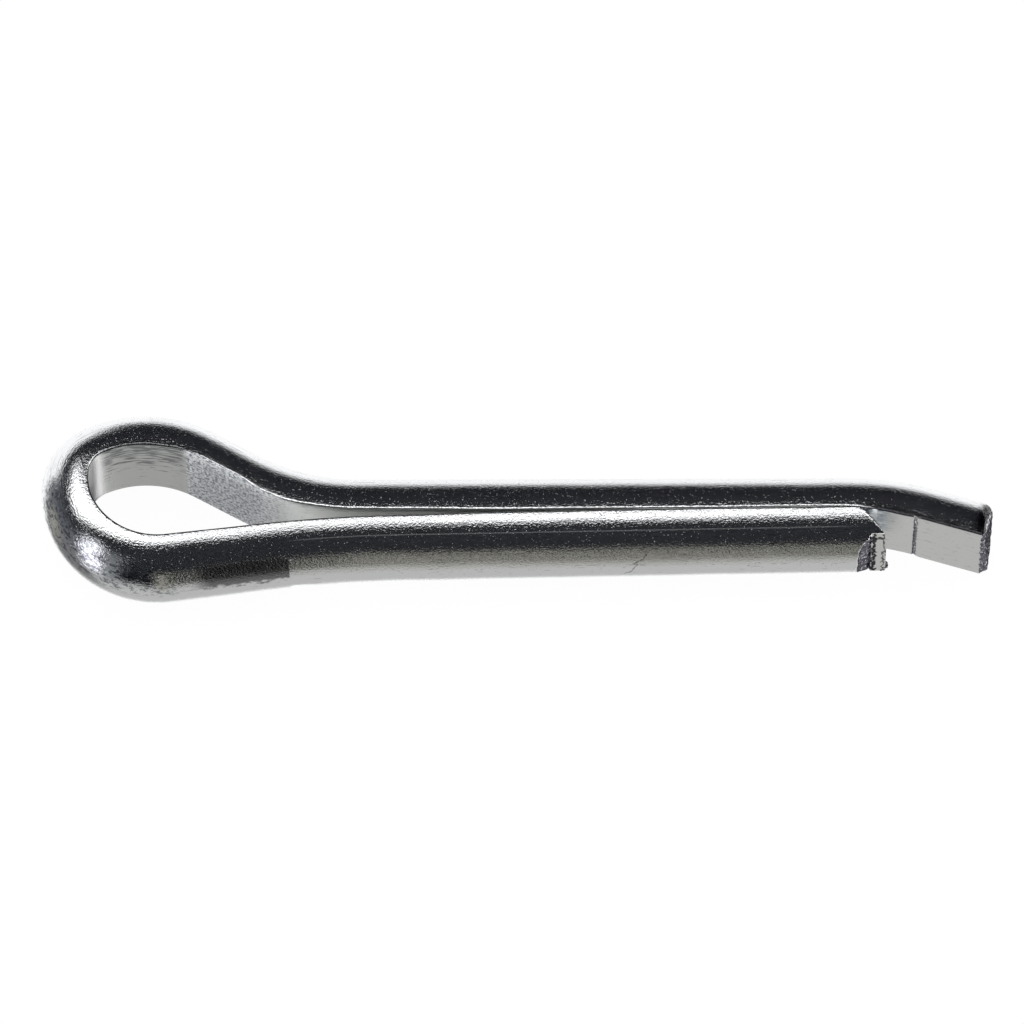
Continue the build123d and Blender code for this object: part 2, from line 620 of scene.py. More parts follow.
    def crack(self, bench: NodeBench, place: Any, along: Any, angle: Any) -> bpy.types.NodeSocket:
        """Mask of the hairline crack across the short leg's outer side.

        Args:
            bench: the material's bench.
            place: the place on the wire.
            along: distance along the wire.
            angle: angle on the section, in degrees from the crown.

        Returns:
            The mask.
        """
        sway = bench.math("SUBTRACT", bench.mottle(place, self.crack_sway), NOISE_MIDDLE)
        turned = bench.math("SUBTRACT", angle, self.crack_angle)
        line = bench.math("MULTIPLY_ADD", turned, self.crack_slant, self.crack_at)
        line = bench.math("MULTIPLY_ADD", sway, self.crack_sway_run, line)
        split = bench.ease(bench.apart(along, line), *self.crack_band, self.crack_share, 0.0)
        across = bench.apart(angle, self.crack_angle)
        return bench.product(split, bench.ease(across, *self.crack_reach, 1.0, 0.0))

    def round_finish(self, bench: NodeBench, place: Any, along: Any, angle: Any) -> bpy.types.NodeSocket:
        """Colour of the round side: painted shade beside the die mark and in dark blotches round the eye's
        end.

        Args:
            bench: the material's bench.
            place: the place on the wire.
            along: distance along the wire.
            angle: angle on the section, in degrees from the crown.

        Returns:
            The colour.
        """
        sway = bench.math("SUBTRACT", bench.mottle(place, self.shade_edge), NOISE_MIDDLE)
        ragged = bench.math("MULTIPLY_ADD", sway, self.shade_sway, angle)
        ahead, behind = self.shade_fade_in, self.shade_fade_out
        in_shade = bench.product(
            bench.ease(along, self.shade_from - ahead, self.shade_from + ahead),
            bench.ease(along, self.shade_to - behind, self.shade_to + behind, self.shade_share, 0.0),
            bench.ease(ragged, *self.shade_foot),
            bench.ease(angle, *self.shade_top, 1.0, 0.0),
        )
        # Painted shade: dark blotches round the eye's end
        in_shade_blotch = bench.product(
            self.stretch_mask(bench, along, self.shade_blotch_from, self.shade_blotch_to, self.shade_blotch_fade),
            bench.ease(angle, *self.shade_blotch_top, 1.0, 0.0),
            bench.ease(angle, *self.shade_blotch_foot),
            bench.ease(bench.mottle(place, self.spots), *self.spot_band, 0.0, self.spot_share),
        )
        return bench.tint(in_shade_blotch, bench.tint(in_shade, self.bright, self.shade), self.shade_blotch)

    def painted_shade_mask(self, bench: NodeBench, along: Any, outward: Any, angle: Any) -> bpy.types.NodeSocket:
        """Mask of the painted shade on the flat's corners and on the long tip's rolled corner.

        Args:
            bench: the material's bench.
            along: distance along the wire.
            outward: distance out from the flat.
            angle: angle on the section, in degrees from the crown.

        Returns:
            The mask.
        """
        fade = self.shaded_eye_fade
        round_eye = self.stretch_mask(bench, along, self.sparkle_to - fade, self.streaks_to, fade)
        shaded_at = bench.highest(
            bench.ease(along, *self.shaded_tip, self.shaded_tip_share, 0.0),
            bench.product(round_eye, self.shaded_eye_share),
        )
        corners = bench.product(bench.ease(outward, *self.shaded_corner, 1.0, 0.0), shaded_at)
        rolled = bench.product(
            bench.ease(along, *self.roll_stretch, self.roll_share, 0.0),
            bench.ease(angle, *self.roll_angles),
        )
        return bench.highest(corners, rolled)

    def dust_and_line_mask(self, bench: NodeBench, place: Any, along: Any, angle: Any) -> bpy.types.NodeSocket:
        """Mask of the white marks on the round side: dust, and a faint painted highlight line along the short
        leg.

        Args:
            bench: the material's bench.
            place: the place on the wire.
            along: distance along the wire.
            angle: angle on the section, in degrees from the crown.

        Returns:
            The mask.
        """
        # Painted highlight: a faint pale line along the short leg
        highlight_line = bench.product(
            bench.ease(bench.apart(angle, self.line_angle), *self.line_band, self.line_highlight_share, 0.0),
            self.stretch_mask(bench, along, self.line_from, self.line_to, self.line_fade),
        )
        dusty = bench.ease(along, *self.dust_stretch, *self.dust_chalk)
        dust = bench.ease(bench.mottle(place, self.dust), *self.dust_band, 0.0, dusty)
        return bench.highest(dust, highlight_line)

    def material(self) -> bpy.types.Material:
        """Builds the finish.

        Returns:
            The material.
        """
        made, bench, shader = new_material(self.name)
        place = bench.node("ShaderNodeAttribute", attribute_name=PLACE).outputs["Vector"]
        edge_highlight = bench.node("ShaderNodeAttribute", attribute_name=EDGE_HIGHLIGHT).outputs["Fac"]
        along, outward, height = bench.node("ShaderNodeSeparateXYZ", {0: place}).outputs
        angle = bench.math("DEGREES", bench.math("ARCTAN2", height, outward))
        flat = bench.ease(outward, *self.flat_edge, 1.0, 0.0)
        relief_place = bench.stretched(place, self.relief_scale)
        relief = Relief.place(bench, relief_place, self.relief_grain, self.relief_specks, self.relief_bare)
        levels = bench.total(
            (relief.outputs["Height"], self.grain_height),
            (bench.mottle(place, self.draw_lines), self.line_height),
            (relief.outputs["Mask"], self.speck_height),
        )
        bump = bench.node("ShaderNodeBump", {"Height": levels, "Distance": MM, "Strength": 1.0})
        hairs = bench.ease(bench.mottle(place, self.hairs), *self.hair_band)
        stain = bench.product(bench.highest(relief.outputs["Mask"], hairs), self.stain_share)
        marked = bench.highest(stain, self.crack(bench, place, along, angle))
        round_colour = bench.tint(marked, self.round_finish(bench, place, along, angle), self.stained)
        flat_colour, flat_highlights = self.flat_finish(bench, place, along, height)
        dust_and_highlight = self.dust_and_line_mask(bench, place, along, angle)
        dust_and_highlight = bench.math("MULTIPLY_ADD", flat, bench.math("SUBTRACT", flat_highlights, dust_and_highlight), dust_and_highlight)
        # Painted highlight: white along the rims of the cuts
        dust_and_highlight = bench.highest(dust_and_highlight, bench.ease(edge_highlight, *self.edge_highlight_band))
        # Painted shade darkens the flat's corners and the long tip's rolled corner
        painted_shade = self.painted_shade_mask(bench, along, outward, angle)
        colour = bench.tint(flat, bench.tint(painted_shade, round_colour, self.painted_dark), flat_colour)
        roughness = bench.math("MULTIPLY_ADD", flat, self.flat_more_roughness, self.round_roughness)
        # Dust and painted highlights are white and not metal
        bench.feed(shader.inputs["Base Color"], bench.tint(dust_and_highlight, colour, self.dust_and_highlight))
        bench.feed(shader.inputs["Metallic"], bench.math("SUBTRACT", 1.0, dust_and_highlight))
        bench.feed(shader.inputs["Roughness"], roughness)
        bench.feed(shader.inputs["Normal"], bump.outputs["Normal"])
        return made


@dataclass(frozen=True)
class ShearedSteel:
    """Rough grey break where the wire was sheared off, with light specks that are painted glints."""

    name: str = "sheared_steel"
    grey: Colour = (0.15, 0.143, 0.178, 1.0)
    # Light grey of the specks painted as glints
    painted_glint: Colour = (0.62, 0.61, 0.66, 1.0)
    grain: float = 6.0
    specks: float = 6.5
    bare: float = 0.59
    depth: float = 0.08
    glint_metallic: float = 0.4
    roughness: float = 0.45

    def material(self) -> bpy.types.Material:
        """Builds the finish.

        Returns:
            The material.
        """
        made, bench, shader = new_material(self.name)
        object_place = bench.node("ShaderNodeTexCoord").outputs["Object"]
        place = bench.stretched(object_place, (1 / MM, 1 / MM, 1 / MM))
        relief = Relief.place(bench, place, self.grain, self.specks, self.bare)
        mask = relief.outputs["Mask"]
        inputs = {"Height": relief.outputs["Height"], "Distance": self.depth * MM, "Strength": 1.0}
        bump = bench.node("ShaderNodeBump", inputs)
        # Painted glints: light specks, partly diffuse
        bench.feed(shader.inputs["Base Color"], bench.tint(mask, self.grey, self.painted_glint))
        bench.feed(shader.inputs["Metallic"], bench.ease(mask, 0.0, 1.0, 1.0, self.glint_metallic))
        shader.inputs["Roughness"].default_value = self.roughness
        bench.feed(shader.inputs["Normal"], bump.outputs["Normal"])
        return made


@dataclass(frozen=True)
class ShearedLand:
    """Pale land behind the tear, with painted shade in a ragged dark band round its edges."""

    end_along: float
    run: float
    name: str = "sheared_land"
    pale: Colour = (0.80, 0.80, 0.79, 1.0)
    # Dark of the painted shade round the land's edges
    edge_shade_dark: Colour = (0.035, 0.035, 0.040, 1.0)
    grain: float = 3.5
    specks: float = 2.6
    bare: float = 0.64
    depth: float = 0.02
    sway: float = 0.75
    inset: float = 0.16
    top_at: float = 1.72
    inner_band: Band = (0.07, 0.15)
    outer_band: Band = (0.03, 0.09)
    top_band: Band = (0.05, 0.14)
    edge_share: float = 0.9
    roughness: float = 0.32

    def material(self) -> bpy.types.Material:
        """Builds the finish.

        Returns:
            The material.
        """
        made, bench, shader = new_material(self.name)
        place = bench.node("ShaderNodeAttribute", attribute_name=PLACE).outputs["Vector"]
        along, _, height = bench.node("ShaderNodeSeparateXYZ", {0: place}).outputs
        relief = Relief.place(bench, place, self.grain, self.specks, self.bare)
        ragged = bench.math("MULTIPLY_ADD", relief.outputs["Height"], self.sway, -self.sway * NOISE_MIDDLE)
        back = bench.math("ADD", bench.math("SUBTRACT", self.end_along, along), ragged)
        up = bench.math("ADD", height, ragged)
        # Painted shade: a ragged dark band along the land's inner, outer and top edges
        dark = bench.highest(
            bench.ease(bench.apart(back, self.run - self.inset), *self.inner_band, 1.0, 0.0),
            bench.ease(bench.apart(back, self.inset), *self.outer_band, self.edge_share, 0.0),
            bench.ease(bench.apart(up, self.top_at), *self.top_band, self.edge_share, 0.0),
        )
        inputs = {"Height": relief.outputs["Height"], "Distance": self.depth * MM}
        bump = bench.node("ShaderNodeBump", inputs)
        bench.feed(shader.inputs["Base Color"], bench.tint(dark, self.pale, self.edge_shade_dark))
        shader.inputs["Metallic"].default_value = 1.0
        shader.inputs["Roughness"].default_value = self.roughness
        bench.feed(shader.inputs["Normal"], bump.outputs["Normal"])
        return made


def frame_at(point: Vector, angle: float) -> Matrix:
    """Upright frame at a point.

    Args:
        point: the frame's origin.
        angle: heading of its first axis in plan, in degrees.

    Returns:
        The frame, with its second axis to the left of the first and its third axis up.
    """
    frame_axes = Matrix((direction(angle), direction(angle + 90.0), (0.0, 0.0, 1.0))).transposed().to_4x4()
    frame_axes.translation = point
    return frame_axes


def new_piece(name: str, bm: bmesh.types.BMesh, finishes: Sequence[bpy.types.Material]) -> bpy.types.Object:
    """Turns a finished bmesh into an object in the scene.

    Args:
        name: the name of the object and its mesh.
        bm: the bmesh, which is freed.
        finishes: the materials in the order of their slots.

    Returns:
        The object.
    """
    mesh = bpy.data.meshes.new(name)
    bm.to_mesh(mesh)
    bm.free()
    for finish in finishes:
        mesh.materials.append(finish)
    made = bpy.data.objects.new(name, mesh)
    bpy.context.scene.collection.objects.link(made)
    return made


@dataclass(frozen=True)
class Tear:
    """Grain of torn metal: its coarse and fine lumps per millimetre, and how strong the fine ones are."""

    coarse: float = 2.4
    fine: float = 6.5
    fine_share: float = 0.45
    falloff: float = 0.8
    spread: float = 2.0
    octaves: int = 2

    def lump(self, point: Vector) -> float:
        """Height of the grain at a point, as a share of its full height."""
        coarse = noise.fractal(point * self.coarse, self.falloff, self.spread, self.octaves)
        return coarse + self.fine_share * noise.noise(point * self.fine)


@dataclass(frozen=True)
class Cutter:
    """A prism of waste that is taken off the wire, rough where the metal tore.

    The corners are the outline in the first two axes of its frame. From the last corner the outline may go
    on round a centre before it closes. Walls inside a box in plan may take a second surface. The prism may
    lean towards its first axis and roll about it, both in degrees.
    """

    name: str
    frame: Matrix
    corners: tuple[tuple[float, float], ...]
    surface: Surface
    round_centre: tuple[float, float] = (0.0, 0.0)
    round_turn: float = 0.0
    lean: float = 0.0
    roll: float = 0.0
    second: Surface = Surface.LAND
    second_box: tuple[float, float, float, float] = (0.0, 0.0, 0.0, 0.0)
    land_tilt: float = 0.0
    grid: float = 0.09
    rough: float = 0.0
    land_rough_share: float = 0.15
    grain: Tear = Tear()
    reach: float = 3.6

    def outline(self, bm: bmesh.types.BMesh) -> None:
        """Draws the outline as a closed face at the foot of the prism.

        Args:
            bm: an empty mesh.
        """
        verts = [bm.verts.new((*corner, -self.reach)) for corner in self.corners]
        for first, second in zip(verts, verts[1:]):
            bm.edges.new((first, second))
        last = verts[-1]
        if self.round_turn:
            arm = (Vector(self.corners[-1]) - Vector(self.round_centre)).length
            steps = math.ceil(arm * math.radians(abs(self.round_turn)) / self.grid)
            spun = bmesh.ops.spin(
                bm, geom=[last], cent=(*self.round_centre, -self.reach), axis=(0, 0, 1),
                angle=math.radians(self.round_turn), steps=steps,
            )["geom_last"]
            last = next(g for g in spun if isinstance(g, bmesh.types.BMVert))
        bm.edges.new((last, verts[0]))
        for edge in list(bm.edges):
            cuts = math.ceil(edge.calc_length() / self.grid) - 1
            if cuts:
                bmesh.ops.subdivide_edges(bm, edges=[edge], cuts=cuts)
        bmesh.ops.contextual_create(bm, geom=list(bm.edges))

    def build(self, finishes: Sequence[bpy.types.Material]) -> bpy.types.Object:
        """Makes the prism in the wire's own units.

        Args:
            finishes: the pin's materials, one for each surface.

        Returns:
            The prism, ready to be taken off the wire.
        """
        bm = bmesh.new()
        self.outline(bm)
        raised = bmesh.ops.extrude_face_region(bm, geom=list(bm.faces))["geom"]
        top = [g for g in raised if isinstance(g, bmesh.types.BMVert)]
        bmesh.ops.translate(bm, vec=(0, 0, self.reach * 2.0), verts=top)
        upright = [e for e in bm.edges if abs(e.verts[0].co.z - e.verts[1].co.z) > self.reach]
        cuts = math.ceil(self.reach * 2.0 / self.grid) - 1
        bmesh.ops.subdivide_edges(bm, edges=upright, cuts=cuts, use_grid_fill=True)
        bmesh.ops.recalc_face_normals(bm, faces=bm.faces)
        left, right, foot, head = self.second_box
        for face in bm.faces:
            middle = face.calc_center_median()
            inside = left < middle.x < right and foot < middle.y < head
            face.material_index = (self.second if inside else self.surface).value
        self.roughen(bm)
        leaned = Matrix.Rotation(math.radians(-self.lean), 3, "Y")
        turn = Matrix.Rotation(math.radians(self.roll), 3, "X") @ leaned
        bmesh.ops.rotate(bm, cent=(0, 0, 0), matrix=turn, verts=bm.verts)
        bmesh.ops.transform(bm, matrix=self.frame, verts=bm.verts)
        return new_piece(self.name, bm, finishes)

    def roughen(self, bm: bmesh.types.BMesh) -> None:
        """Tilts the land and gives the walls the grain of torn metal.

        Args:
            bm: the prism, upright at the origin.
        """
        bm.normal_update()
        moves: list[tuple[bmesh.types.BMVert, Vector]] = []
        for vert in bm.verts:
            if abs(vert.co.z) > self.reach - MERGE:
                continue
            on_land = any(f.material_index == Surface.LAND.value for f in vert.link_faces)
            share = self.land_rough_share if on_land else 1.0
            push = vert.normal * self.grain.lump(vert.co) * self.rough * share
            if on_land:
                push.y += self.land_tilt * vert.co.z
            moves.append((vert, push))
        for vert, push in moves:
            vert.co += push


@dataclass(frozen=True)
class Burr:
    """A crumb of torn metal that hangs on the edge of the land.

    Its grain is read at a place of its own, which is its centre times apart.
    """

    centre: Triple
    size: Triple
    rough: float = 0.45
    grain: Tear = Tear(coarse=1.7, fine_share=0.0, octaves=3)
    apart: float = 9.0

    def build(self, name: str, leg: Matrix, finishes: Sequence[bpy.types.Material]) -> bpy.types.Object:
        """Makes the crumb in the wire's own units.

        Args:
            name: the object's name.
            leg: the frame that its centre is given in.
            finishes: the pin's materials, one for each surface.

        Returns:
            The crumb, ready to be joined to the wire.
        """
        bm = bmesh.new()
        bmesh.ops.create_icosphere(bm, subdivisions=3, radius=1.0)
        shift = Vector(self.centre) * self.apart / self.grain.coarse
        for vert in bm.verts:
            vert.co *= 1.0 + self.rough * self.grain.lump(vert.co + shift)
        bmesh.ops.scale(bm, vec=self.size, verts=bm.verts)
        bmesh.ops.translate(bm, vec=self.centre, verts=bm.verts)
        bmesh.ops.transform(bm, matrix=leg, verts=bm.verts)
        for face in bm.faces:
            face.material_index = Surface.SMEARED.value
        return new_piece(name, bm, finishes)


@dataclass
class SplitPin:
    """The bent wire, with a wedge sheared on the short leg and a break on the long one."""

    name: str = "split_pin_wire"
    wire_width: float = 5.70
    edge_radius: float = 0.10
    round_segments: int = 60
    edge_segments: int = 3
    flat_segments: int = 14
    ring_step: float = 0.25
    stock_end: tuple[float, float] = (41.6522, -2.3509)
    stock_heading: float = 162.0934
    stock_length: float = 1.0
    schedule: tuple[Feed, ...] = (
        Feed(run=5.3517),
        Feed(radius=16.0, turn=17.4),
        Feed(run=29.5840),
        Feed(radius=14.8, turn=-30.0970),
        Feed(run=2.9904),
        Feed(radius=5.92, turn=55.2036),
        Feed(radius=1.53, turn=65.4),
        Feed(radius=4.35, turn=96.9932),
        Feed(run=4.9878),
        Feed(radius=80.0, turn=-6.4867),
        Feed(run=29.8879),
    )
    leg_girth: float = 0.9916
    eye_girth: float = 1.028
    tip_girth: float = 1.040
    eye_lead: float = 3.0
    waviness: float = 0.012
    wave_density: Triple = (0.45, 0.5, 0.5)
    crown_band: Band = (0.1, 0.8)
    flat_band: Band = (0.0, 0.6)
    # Along the wire, how far the flat is out of true at its top and at its foot
    flat_marks: tuple[Triple, ...] = (
        (0.0, -0.35, 0.0),
        (5.1, -0.36, 0.0),
        (5.5, -0.38, 0.06),
        (6.2, -0.42, 0.06),
        (8.0, -0.33, 0.04),
        (9.5, -0.21, 0.0),
        (12.5, -0.20, -0.02),
        (18.7, -0.28, -0.11),
        (24.8, -0.31, -0.16),
        (30.9, -0.36, -0.16),
        (37.1, -0.30, -0.16),
        (42.0, -0.25, -0.11),
        (44.0, -0.30, -0.06),
        (45.3, -0.20, -0.03),
        (47.4, 0.12, 0.0),
        (49.6, 0.12, 0.0),
        (51.2, 0.0, 0.0),
        (52.6, -0.14, 0.0),
        (57.0, -0.12, 0.0),
        (60.0, 0.0, 0.0),
        (65.0, 0.0, 0.0),
        (70.0, 0.05, 0.05),
        (79.6, 0.05, 0.05),
        (85.7, -0.05, -0.05),
        (98.0, -0.05, -0.05),
        (104.0, 0.0, 0.0),
    )
    die_step: float = -0.09
    die_step_at: float = 72.6
    die_step_run: float = 2.0
    die_edge: float = 0.1
    die_drops: Band = (0.4, 1.0)
    # From the short leg's end, how far back a point of the bevel is and how deep from the flat
    bevel_marks: tuple[Band, ...] = (
        (1.62, 0.0), (1.36, 0.12), (1.14, 0.36), (0.92, 0.65), (0.0, 1.92),
    )
    rim_round: float = 0.05
    rim_round_top: float = 0.12
    rim_top_angles: Band = (58.0, 78.0)
    rim_share: float = 0.93
    strip_run: float = 0.92
    land_depth: float = 1.935
    land_tilt: float = 0.111
    seam_run: float = 0.20
    seam_depth: float = 0.14
    seam_deepest: float = 0.4
    seam_lip: float = 0.06
    torn_rough: float = 0.05
    tear_centre: tuple[float, float] = (-0.87, -2.90)
    tear_turn: float = 76.0
    break_back_angle: float = 7.6
    break_side_angle: float = 3.8
    chip_run: float = 0.42
    chip_depth: float = 0.30
    chip_lean: float = -3.0
    roll_run: float = 0.90
    roll_depth: float = 1.39
    roll_setback: float = 0.24
    roll_angle: float = 38.0
    # Setbacks of the cuts that mark off the long tip's rim for its painted edge highlight
    highlight_rim_cuts: tuple[float, ...] = (0.08, 0.16)
    score_setback: float = 4.45
    score_width: float = 0.26
    score_depth: float = 0.07
    score_lean: float = 0.6
    score_deepest: float = 0.3
    score_rough: float = 0.03
    score_grid: float = 0.07
    burrs: tuple[Burr, ...] = (
        Burr((-0.02, -1.99, -1.55), (0.19, 0.13, 0.17)),
        Burr((0.05, -1.94, -1.25), (0.10, 0.10, 0.11)),
        Burr((-0.22, -2.05, -1.82), (0.16, 0.12, 0.12)),
    )
    # Where the finish has its marks, its painted sparkle, highlight line and shade: past the start of a run,
    # back from the short leg's end or along the wire
    sparkle_lead: float = 3.0
    sparkle_past: float = 0.5
    smear_at: float = 8.05
    line_lead: float = 3.0
    line_setback: float = 2.5
    crack_setback: float = 15.3
    shade_run: float = 5.6
    shade_blotches: Band = (58.0, 65.5)
    # Grey of the smeared steel and the light grey of its painted glints
    smeared_grey: Colour = (0.34, 0.335, 0.36, 1.0)
    smeared_glint: Colour = (0.92, 0.92, 0.94, 1.0)
    end_reach: float = 5.0
    end_cuts: int = 2
    overrun: float = 1.0
    sharp_angle: float = 35.0

    def stretches(self) -> list[Stretch]:
        """The bending schedule laid out in plan.

        Returns:
            The runs and bends in order, from the long leg's tip.
        """
        point = Vector((*self.stock_end, 0.0))
        heading = self.stock_heading
        begins = 0.0
        laid: list[Stretch] = []
        for feed in self.schedule:
            stretch = Stretch(point, heading, feed.length, feed.turn, begins)
            point, heading = stretch.place(feed.length)
            begins += feed.length
            laid.append(stretch)
        return laid

    def section(self, bm: bmesh.types.BMesh) -> list[bmesh.types.BMEdge]:
        """Draws the half-round section as a closed ring, standing at the end of the stock.

        Args:
            bm: an empty mesh with the place layer.

        Returns:
            The ring's edges.
        """
        bmesh.ops.create_circle(
            bm, cap_ends=True, segments=self.round_segments * 2, radius=self.wire_width / 2
        )
        everything = list(bm.verts) + list(bm.edges) + list(bm.faces)
        bmesh.ops.bisect_plane(
            bm, geom=everything, dist=ON_CUT, plane_co=(0, 0, 0), plane_no=(-1, 0, 0), clear_outer=True
        )
        corners = [v for v in bm.verts if abs(v.co.x) < MERGE]
        bmesh.ops.bevel(
            bm, geom=corners, offset=self.edge_radius, segments=self.edge_segments,
            profile=0.5, affect="VERTICES", material=-1,
        )
        chord = max(bm.edges, key=lambda e: e.calc_length())
        bmesh.ops.subdivide_edges(bm, edges=[chord], cuts=self.flat_segments - 1)
        bmesh.ops.delete(bm, geom=list(bm.faces), context="FACES_ONLY")
        layer = bm.verts.layers.float_vector[PLACE]
        for vert in bm.verts:
            vert[layer] = (0.0, vert.co.x, vert.co.y)
        first = self.stretches()[Run.LONG_TIP]
        outward = direction(first.heading - 90.0)
        stand = Matrix((outward, (0.0, 0.0, 1.0), direction(first.heading))).transposed().to_4x4()
        stand.translation = first.start
        bmesh.ops.transform(bm, matrix=stand, verts=bm.verts)
        return list(bm.edges)

    def draw(self, bm: bmesh.types.BMesh, ring: list[bmesh.types.BMEdge]) -> list[bmesh.types.BMEdge]:
        """Carries the ring along the schedule and notes each vertex's place on the wire.

        Args:
            bm: the mesh that holds the ring.
            ring: the section's edges at the end of the stock.

        Returns:
            The ring at the end of the short leg.
        """
        layer = bm.verts.layers.float_vector[PLACE]
        placed = set(bm.verts)
        for stretch in self.stretches():
            steps = math.ceil(stretch.length / self.ring_step)
            centre = stretch.centre if stretch.turn else stretch.start
            shift = Vector() if stretch.turn else direction(stretch.heading) * (stretch.length / steps)
            swept = bmesh.ops.spin(
                bm, geom=ring, cent=centre, axis=(0, 0, 1), dvec=shift,
                angle=math.radians(stretch.turn), steps=steps, use_merge=False,
            )
            ring = [g for g in swept["geom_last"] if isinstance(g, bmesh.types.BMEdge)]
            fresh = [v for v in bm.verts if v not in placed]
            for vert in fresh:
                _, outward, height = vert[layer]
                vert[layer] = (stretch.begins + stretch.along(vert.co), outward, height)
            placed.update(fresh)
        return ring

    def settle(self, bm: bmesh.types.BMesh) -> None:
        """Gives the wire its true section: fuller at the eye and the long tip, wavy, with the press marks.

        Args:
            bm: the drawn wire.
        """
        layer = bm.verts.layers.float_vector[PLACE]
        laid = self.stretches()
        crown = self.wire_width / 2
        for vert in bm.verts:
            along, outward, height = vert[layer]
            stretch = next((s for s in reversed(laid) if s.begins <= along + ON_CUT), laid[0])
            _, heading = stretch.place(along - stretch.begins)
            swell = self.girth(along, laid) - 1.0
            on_crown = blend_share(outward, *self.crown_band)
            wave = noise.noise(vert[layer] * Vector(self.wave_density)) * self.waviness
            swell += wave * on_crown / crown
            below = blend_share(-height, *self.die_drops) * on_crown
            past_die = blend_share(along, self.die_step_at, self.die_step_at + self.die_edge)
            past_die *= 1.0 - blend_share(along, self.die_step_at, self.die_step_at + self.die_step_run)
            swell += below * past_die * self.die_step / crown
            on_flat = 1.0 - blend_share(outward, *self.flat_band)
            top, foot = read_marks(self.flat_marks, along)
            sink = (foot + (top - foot) * (height / self.wire_width + 0.5)) * on_flat
            vert.co += direction(heading - 90.0) * (outward * swell + sink)
            vert.co.z += height * swell

    def girth(self, along: float, laid: list[Stretch]) -> float:
        """Scale of the section at a distance along the wire.

        Args:
            along: distance from the end of the stock.
            laid: the schedule laid out.

        Returns:
            The scale, 1 for the nominal section.
        """
        tip = 1.0 - blend_share(along, laid[Run.TIP_BEND].begins, laid[Run.LONG_LEG].begins)
        eye = blend_share(along, laid[Run.FAR_NECK].begins - self.eye_lead, laid[Run.EYE_FAR].begins)
        eye *= 1.0 - blend_share(along, laid[Run.NEAR_RUN].begins, laid[Run.SHORT_LEG].begins)
        leg = 1.0 - tip - eye
        return tip * self.tip_girth + eye * self.eye_girth + leg * self.leg_girth

    def refine_ends(self, bm: bmesh.types.BMesh) -> None:
        """Divides the wire more finely along its length near both tips, where it is cut.

        Args:
            bm: the drawn wire.
        """
        layer = bm.verts.layers.float_vector[PLACE]
        last = self.stretches()[Run.SHORT_LEG]
        high = last.begins + last.length - self.end_reach
        lengthwise: list[bmesh.types.BMEdge] = []
        for edge in bm.edges:
            first, second = sorted(v[layer].x for v in edge.verts)
            if second - first > self.ring_step / 2 and (second < self.end_reach or first > high):
                lengthwise.append(edge)
        bmesh.ops.subdivide_edges(bm, edges=lengthwise, cuts=self.end_cuts, use_grid_fill=True)

    def near(self, bm: bmesh.types.BMesh, low: float, high: float) -> list[Any]:
        """Everything of the mesh whose place along the wire is between two distances.

        Args:
            bm: the mesh.
            low: the first distance.
            high: the last distance.

        Returns:
            Vertices, and the edges and faces that have all of theirs inside.
        """
        layer = bm.verts.layers.float_vector[PLACE]
        verts = [v for v in bm.verts if low <= v[layer].x <= high]
        inside = set(verts)
        edges = [e for e in bm.edges if inside.issuperset(e.verts)]
        faces = [f for f in bm.faces if inside.issuperset(f.verts)]
        return [*verts, *edges, *faces]

    def slice(self, bm: bmesh.types.BMesh, geom: list[Any], point: Vector, outer: Vector) -> None:
        """Cuts an end off and closes the cut with a plated face, where the cut reaches the metal.

        Args:
            bm: the mesh.
            geom: the part of the mesh that the cut may touch.
            point: a point of the cut.
            outer: direction of the waste.
        """
        cut = bmesh.ops.bisect_plane(
            bm, geom=geom, dist=ON_CUT, plane_co=point, plane_no=outer, clear_outer=True
        )["geom_cut"]
        edges = [g for g in cut if isinstance(g, bmesh.types.BMEdge)]
        if edges:
            bmesh.ops.contextual_create(bm, geom=edges)

    def roll_long_tip(self, bm: bmesh.types.BMesh) -> None:
        """Rolls the upper crown of the long leg's tip over an ellipse, and marks off the narrow rim that its
        painted edge highlight fades over.

        Args:
            bm: the wire with its true section.
        """
        layer = bm.verts.layers.float_vector[PLACE]
        first = self.stretches()[Run.LONG_TIP]
        end, _ = first.place(self.stock_length)
        ahead = -direction(first.heading)
        tilt = math.radians(self.roll_angle)
        side = direction(first.heading - 90.0) * math.cos(tilt) + Vector((0, 0, 1)) * math.sin(tilt)
        crest = self.wire_width / 2 * self.tip_girth
        for vert in bm.verts:
            arm = vert.co - end
            past = (arm.dot(ahead) + self.roll_setback + self.roll_run) / self.roll_run
            if vert[layer].x < self.end_reach and past > 0.0:
                limit = crest - self.roll_depth * (1.0 - math.sqrt(1.0 - min(past, 1.0) ** 2))
                vert.co -= side * max(arm.dot(side) - limit, 0.0)
        back = math.tan(math.radians(self.break_back_angle))
        lean = math.tan(math.radians(self.break_side_angle))
        facing = (ahead + direction(first.heading - 90.0) * back + Vector((0, 0, 1)) * lean).normalized()
        for setback in self.highlight_rim_cuts:
            bmesh.ops.bisect_plane(
                bm, geom=self.near(bm, -self.overrun, self.end_reach), dist=ON_CUT,
                plane_co=end - facing * setback, plane_no=facing,
            )

    def wedge_planes(self) -> list[tuple[Vector, Vector]]:
        """The bevel of the short leg's tip as planes, from the steepest to the one that meets the flat.

        Returns:
            A point and an outward direction for each plane.
        """
        last = self.stretches()[Run.SHORT_LEG]
        end, heading = last.place(last.length)
        along = direction(heading)
        depth = direction(heading - 90.0)
        planes: list[tuple[Vector, Vector]] = []
        for (back, shallow), (front, deep) in zip(self.bevel_marks, self.bevel_marks[1:]):
            slope = math.atan2(deep - shallow, back - front)
            outer = along * math.sin(slope) - depth * math.cos(slope)
            planes.append((end - along * back + depth * shallow, outer))
        return planes[::-1]

